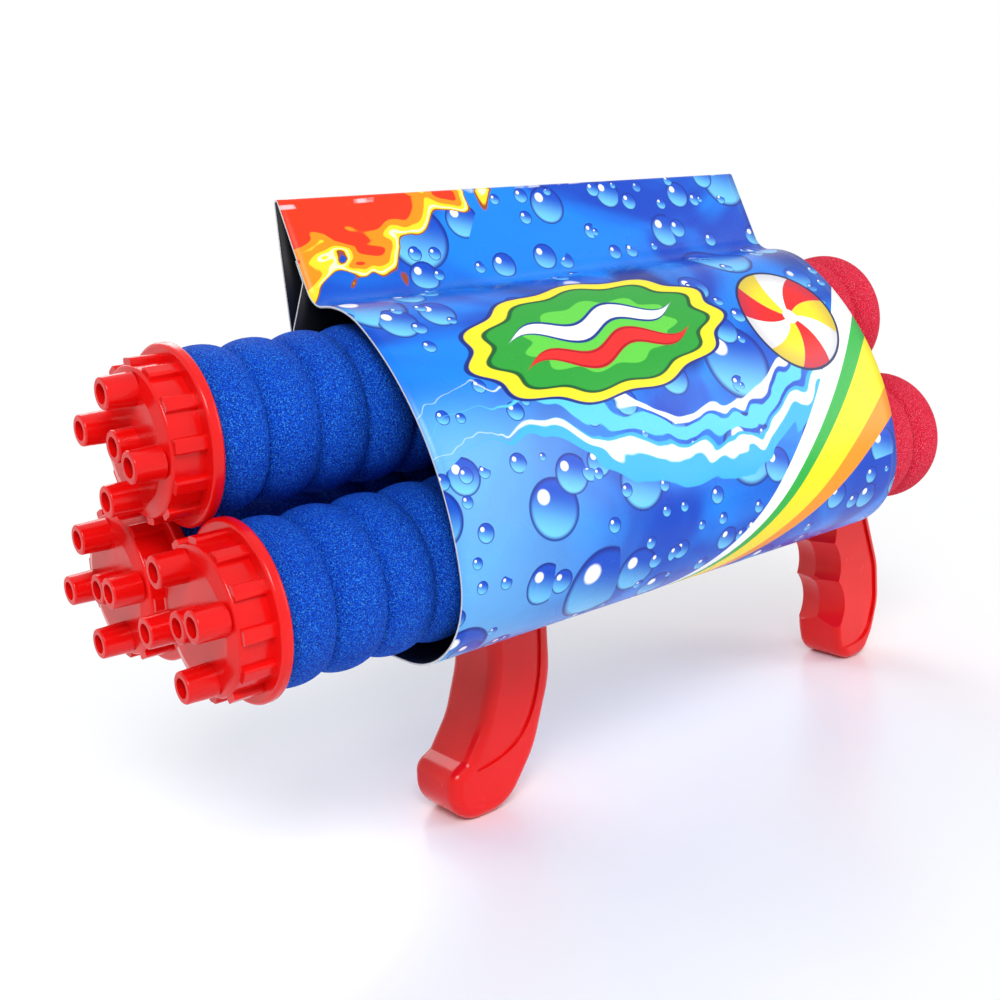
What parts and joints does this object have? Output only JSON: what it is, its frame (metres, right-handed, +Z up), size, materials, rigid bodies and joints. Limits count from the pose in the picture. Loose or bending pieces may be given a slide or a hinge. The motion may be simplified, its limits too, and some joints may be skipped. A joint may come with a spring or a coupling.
{
  "type": "pump water squirter",
  "caption": "Pump water squirter with foam-covered barrels in a cluster, screw-on caps with jets, two pistol grips and a folded card sleeve; the rear grip draws out the plungers.",
  "frame": {"origin": "floor level under the middle of the whole toy, standing upright on both grips", "axes": "-X is the way the nozzles point, +X is the way the plunger grip is drawn out, +Z is up"},
  "size_m": [0.415, 0.1428, 0.2607],
  "materials": {
    "red_plastic": "gloss",
    "white_plastic": "satin",
    "frame_plastic": "satin",
    "blue_foam": "matte foam",
    "red_foam": "matte foam",
    "seal_rubber": "matte",
    "screw_steel": "bright",
    "printed_card": "coated printed card"
  },
  "bodies": {
    "barrels": {"nozzle_cap_top": "red_plastic", "cap_gasket_top": "seal_rubber", "barrel_tube_top": "white_plastic", "front_foam_top": "blue_foam", "mid_foam_top": "blue_foam", "nozzle_cap_near": "red_plastic", "cap_gasket_near": "seal_rubber", "barrel_tube_near": "white_plastic", "front_foam_near": "blue_foam", "mid_foam_near": "blue_foam", "nozzle_cap_far": "red_plastic", "cap_gasket_far": "seal_rubber", "barrel_tube_far": "white_plastic", "front_foam_far": "blue_foam", "mid_foam_far": "blue_foam", "front_yoke": "frame_plastic", "end_frame": "frame_plastic", "front_grip_near_half": "red_plastic", "front_grip_far_half": "red_plastic", "front_grip_screws": "screw_steel", "printed_sleeve": "printed_card"},
    "plunger": {"piston_top": "white_plastic", "piston_ring_top": "seal_rubber", "plunger_tube_top": "white_plastic", "rear_foam_top": "red_foam", "tube_insert_top": "white_plastic", "piston_near": "white_plastic", "piston_ring_near": "seal_rubber", "plunger_tube_near": "white_plastic", "rear_foam_near": "red_foam", "tube_insert_near": "white_plastic", "piston_far": "white_plastic", "piston_ring_far": "seal_rubber", "plunger_tube_far": "white_plastic", "rear_foam_far": "red_foam", "tube_insert_far": "white_plastic", "rear_yoke": "red_plastic", "rear_grip_near_half": "red_plastic", "rear_grip_far_half": "red_plastic", "rear_grip_screws": "screw_steel", "yoke_screws": "screw_steel"}
  },
  "joints": [
    {"name": "plunger_slide", "type": "slide", "parent": "barrels", "child": "plunger", "axis": [1, 0, 0], "range_m": [0, 0.2134]}
  ]
}
